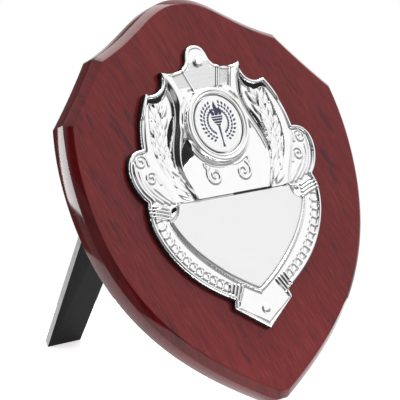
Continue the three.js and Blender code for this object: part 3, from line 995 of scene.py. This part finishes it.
# ---- Engraving plate ---------------------------------------------------------------------

plate_layers = [
    (SEAT_FLOOR + 0.05, 0.5),
    (SEAT_FLOOR + 0.05, 0.25),
    *rounded(SEAT_FLOOR + 0.1, PLATE_TOP, 0.15, base=0.25),
    (PLATE_TOP, 0.9),
]
plate = stacked(mirrored(SEAT_HALF), plate_layers)
add_piece("engraving_plate_satin", *plate, SATIN, "satin_plate", "shield", ["engraving_plate"])

# ---- Printed disc ------------------------------------------------------------------------

disc_layers = [(4.05, 0.3), (4.08, 0.02), *rounded(4.1, DISC_TOP, 0.22), (DISC_TOP, 0.8)]
disc = stacked(circle(DISC_RADIUS), disc_layers)
add_piece("centre_disc_printed", *disc, WHITE, "printed_disc", "shield", ["centre_disc"])

# Rows of the wreath: start along it in steps, turn off it in degrees, radius and leaf width.
WREATH_ROWS = ((0.5, 52, 8.3, 1.05), (0, 14, 7.2, 0.95), (0.5, -44, 6.1, 0.95))
WREATH_LEAVES = 12
WREATH_STEP = 12.2  # degrees
TORCH = (
    ((-0.6, -0.9), (0.6, -0.9), (0.32, -8.0), (0.7, -10.2), (-0.7, -10.2), (-0.32, -8.0)),
    ((-1.4, 0.0), (1.4, 0.0), (0.9, -0.8), (-0.9, -0.8)),
    ((-2.3, 1.2), (2.3, 1.2), (1.7, 0.3), (-1.7, 0.3)),
    ((-2.9, 2.4), (2.9, 2.4), (2.5, 1.5), (-2.5, 1.5)),
    ((-3.2, 3.4), (3.2, 3.4), (3.0, 2.7), (-3.0, 2.7)),
)
FLAMES = ((-1.9, -2.6, 7.2, 1.9), (0, 0.3, 10.4, 2.3), (1.9, 2.5, 7.6, 1.9))
FLAME_FOOT = 3.8
PRINT_DEPTH = 0.03
PRINT_RISE = 0.02


def printed_leaf(base, angle, length, width):
    t = np.linspace(0, 1, 7)
    half = width / 2 * np.sin(math.pi * t**0.8)
    one_side = np.column_stack([t * length, half])
    other_side = np.column_stack([t * length, -half])[::-1][1:-1]
    c, s = math.cos(angle), math.sin(angle)
    return np.vstack([one_side, other_side]) @ np.array([[c, s], [-s, c]]) + base


def printed_flame(foot_x, top_x, top_y, width):
    t = np.linspace(0, 1, 9)
    half = width / 2 * np.sin(math.pi * (0.25 + 0.75 * t)) ** 1.1
    centre = foot_x + (top_x - foot_x) * t + 0.28 * np.sin(math.pi * 2 * t)
    height = FLAME_FOOT + (top_y - FLAME_FOOT) * t
    right = np.column_stack([centre + half, height])
    left = np.column_stack([centre - half, height])[::-1][1:]
    return np.vstack([right, left])


def prints():
    """Outlines of a plain torch in a laurel wreath."""
    shapes = []
    for side in (-1, 1):
        for i in range(WREATH_LEAVES):
            for step, turn, r, width in WREATH_ROWS:
                a = math.radians(-72 + WREATH_STEP * (i + step))
                heading = math.atan2(math.cos(a), -side * math.sin(a))
                base = np.array([side * r * math.cos(a), r * math.sin(a) + 1.0])
                shapes.append(printed_leaf(base, heading - side * math.radians(turn), 1.75, width))
    shapes += [np.array(outline) for outline in TORCH]
    shapes += [printed_flame(*flame) for flame in FLAMES]
    return shapes


emblem = inlay(prints(), DISC_TOP - PRINT_DEPTH, DISC_TOP + PRINT_RISE)
add_piece("centre_disc_emblem", *emblem, NAVY, "printed_disc", "shield")

# ---- Raised ring round the disc ----------------------------------------------------------

# Points of its section, from its outer foot over the bead to its inner side: (radius, height).
ring_profile = through(
    [(17.35, 2.0), (17.0, 3.0), (16.6, 4.1), (16.25, 4.85), (15.8, 5.2), (15.1, 5.25), (14.8, 5.15),
     (14.65, 4.95), (14.5, 4.85), (14.3, 4.85), (14.1, 4.95), (13.7, 4.95), (13.35, 4.7), (13.2, 4.1),
     (13.15, 3.0)],
    4,
)
ring = hoop(ring_profile)
add_piece("trophy_front_ring", *ring, CHROME, "chrome_front", "shield", ["trophy_front"], sharp=50)

# ---- Pins --------------------------------------------------------------------------------

PIN_HEAD_RADIUS = 2.1
PIN_HEAD_SIDE = 3.05  # from the face of the wood to the foot of the domed head
PIN_HEAD_RISE = 0.5

quarter = np.linspace(0, math.pi / 2, 9)[:-1]
pin_profile = [
    *((0, -8.2), (0.35, -7.6), (0.7, -6.6), (0.7, 2.9), (1.9, 2.9), (2.08, 2.96)),
    *((PIN_HEAD_RADIUS * math.cos(a), PIN_HEAD_SIDE + PIN_HEAD_RISE * math.sin(a)) for a in quarter),
    (0, PIN_HEAD_SIDE + PIN_HEAD_RISE),
]
for name, y in (("top_pin", TOP_PIN), ("bottom_pin", BOTTOM_PIN)):
    pin = turned(pin_profile, (0, y))
    add_piece(name + "_domed", *pin, CHROME, "chrome_front", "shield", [name])

# ---- Strut -------------------------------------------------------------------------------

hinge = Vector(frame["joints"][0]["pos_m"])
strut_down = Vector((0, math.sin(STRUT_SPLAY), -math.cos(STRUT_SPLAY)))
strut_out = Vector((0, math.cos(STRUT_SPLAY), math.sin(STRUT_SPLAY)))
strut_frame = Matrix(
    (
        (1, 0, 0, hinge.x),
        (0, -strut_down.y, strut_out.y, hinge.y),
        (0, -strut_down.z, strut_out.z, hinge.z),
        (0, 0, 0, 1),
    )
)


def strut_leg():
    """Tapered board with softened edges, in the strut's frame: y up it, z away from the shield."""
    inner, outer = -1.0, 2.0
    top, foot = -STRUT_TOP_GAP, -hinge.z / MM / math.cos(STRUT_SPLAY)
    wide, narrow, corner = STRUT_TOP_HALF, STRUT_FOOT_HALF, STRUT_CORNER
    half = half_outline(
        [(0, top)],
        bezier((wide - corner, top), (wide, top), (wide, top - corner), steps=6),
        [(wide, top - corner)],
        bezier((narrow, foot + corner), (narrow, foot), (narrow - corner, foot), steps=6),
        [(narrow - corner, foot)],
        end=(0, foot),
    )
    edge = [(0, 0.3), (0.07, 0.07), (0.3, 0)]  # distance from the face, and inset
    layers = [(inner + d, inset) for d, inset in edge] + [(outer - d, inset) for d, inset in edge[::-1]]
    vertices, faces = stacked(mirrored(half), layers)
    low = vertices[:, 1] < foot / 2
    vertices[low, 1] += vertices[low, 2] * math.tan(STRUT_SPLAY)
    along, away = vertices[:, 1] * math.cos(STRUT_SPLAY), vertices[:, 2] * math.sin(STRUT_SPLAY)
    above_floor = hinge.z / MM + along + away
    under = above_floor < 0
    vertices[under, 1] -= above_floor[under] / math.cos(STRUT_SPLAY)
    return vertices, faces


leg = add_piece(
    "strut_leg_board", *strut_leg(), BOARD, "black_board", "strut", ["strut_leg"], place=strut_frame
)
second_material_on_steep_faces(leg, strut_out, 0.35, BOARD_EDGE)

# ---- Hidden pieces and the hinge keep their CAD shapes -----------------------------------

for name, node in frame["nodes"].items():
    if node.hide_render:
        continue
    node.data.materials.clear()
    if "tape" in name:
        node.data.materials.append(TAPE)
        continue
    node.data.materials.append(STEEL)
    softened = node.modifiers.new("softened", "BEVEL")
    softened.width = 0.15 * MM
    softened.segments = 2
    softened.limit_method = "ANGLE"
    softened.angle_limit = math.radians(40)

# ---- Floor, light and camera -------------------------------------------------------------

scene = bpy.context.scene

floor_mesh = bpy.data.meshes.new("floor")
floor_rim = circle(FLOOR_RADIUS) * MM
floor_mesh.from_pydata([(x, y, 0) for x, y in floor_rim], [], [list(range(len(floor_rim)))])
floor_mesh.materials.append(pale_floor())
floor = bpy.data.objects.new("floor", floor_mesh)
scene.collection.objects.link(floor)


def softbox(name, centre, target, size, radiance):
    """A rectangular area light of a given radiance, hidden from the camera."""
    data = bpy.data.lights.new(name, "AREA")
    data.shape = "RECTANGLE"
    data.size, data.size_y = size
    data.energy = radiance * math.pi * size[0] * size[1]
    lamp = bpy.data.objects.new(name, data)
    scene.collection.objects.link(lamp)
    lamp.location = centre
    lamp.rotation_mode = "QUATERNION"
    lamp.rotation_quaternion = (Vector(target) - Vector(centre)).to_track_quat("-Z", "Y")
    lamp.visible_camera = False
    return lamp


softbox("overhead_softbox", (0.27, 0.14, 0.95), (0, 0, 0.08), (0.7, 0.6), 4.5)
side = softbox("side_softbox", (-0.45, 0.38, 0.09), (-0.06, 0, 0.09), (0.42, 0.34), 10.0)
side.visible_diffuse = False
fill = softbox("front_fill", (0.35, -0.9, 0.75), (0, 0, 0.08), (0.8, 0.8), 3.0)
fill.visible_glossy = False


def studio_world():
    """White walls with dark openings, by azimuth in degrees (0 is the front) and by height."""
    world = bpy.data.worlds.new("studio")
    world.use_nodes = True
    tree = world.node_tree
    tree.nodes.clear()

    def node(kind, *inputs, **settings):
        made = tree.nodes.new(kind)
        for key, value in settings.items():
            setattr(made, key, value)
        for i, value in enumerate(inputs):
            if isinstance(value, bpy.types.NodeSocket):
                tree.links.new(value, made.inputs[i])
            else:
                made.inputs[i].default_value = value
        return made

    def maths(operation, first, *others):
        for other in others:
            first = node("ShaderNodeMath", first, other, operation=operation).outputs[0]
        return first

    def rising(source, low, high):
        made = node("ShaderNodeMapRange", source, low, high, interpolation_type="SMOOTHSTEP")
        return made.outputs["Result"]

    def falling(source, low, high):
        return maths("SUBTRACT", 1.0, rising(source, low, high))

    direction = node("ShaderNodeTexCoord").outputs["Generated"]
    x, y, z = node("ShaderNodeSeparateXYZ", direction).outputs
    azimuth = maths("MULTIPLY", maths("ARCTAN2", x, maths("MULTIPLY", y, -1.0)), math.degrees(1))
    behind = maths("ABSOLUTE", azimuth, 0.0)
    from_left = rising(azimuth, -86, -70)
    full_height = maths("ADD", 0.62, maths("MULTIPLY", rising(z, 0.25, 0.33), 0.38))
    zones = (
        (from_left, falling(azimuth, -12, -2), falling(z, 0.84, 0.92), full_height),
        (from_left, falling(azimuth, 58, 72), falling(z, 0.16, 0.27), 0.7),
        (rising(azimuth, 90, 99), falling(azimuth, 112, 125), falling(z, 0.36, 0.5), 0.92),
        (rising(azimuth, -44, -36), falling(azimuth, -8, 0), falling(z, 0.08, 0.15)),
        (rising(behind, 144, 152), falling(z, 0.4, 0.5), 0.9),
        (falling(z, -0.10, -0.02), 0.55),
    )
    dark = maths("MAXIMUM", *[maths("MULTIPLY", *zone) for zone in zones])
    light = maths("SUBTRACT", 1.06, maths("MULTIPLY", dark, 1.04))
    studio = node("ShaderNodeBackground", (1, 1, 1, 1), light)
    white = node("ShaderNodeBackground", (1, 1, 1, 1), 1.0)
    camera_ray = node("ShaderNodeLightPath").outputs["Is Camera Ray"]
    both = node("ShaderNodeMixShader", camera_ray, studio.outputs[0], white.outputs[0])
    node("ShaderNodeOutputWorld", both.outputs[0])
    return world


scene.world = studio_world()
scene.view_settings.view_transform = "Standard"

camera_data = bpy.data.cameras.new("camera")
camera_data.lens = 225
camera_data.sensor_width = 36
camera_data.clip_start = 0.05
camera = bpy.data.objects.new("camera", camera_data)
scene.collection.objects.link(camera)
camera_place = Vector((-0.6829, -0.8455, 0.2878))
forward = Vector((0.6289, 0.7541, -0.1893)).normalized()
level = Vector((0.7644, -0.6442, -0.0263)).normalized()  # to the right, with the photo's roll
above = level.cross(forward)
right = forward.cross(above)
camera.matrix_world = Matrix(
    (
        (right.x, above.x, -forward.x, camera_place.x),
        (right.y, above.y, -forward.y, camera_place.y),
        (right.z, above.z, -forward.z, camera_place.z),
        (0, 0, 0, 1),
    )
)
scene.camera = camera
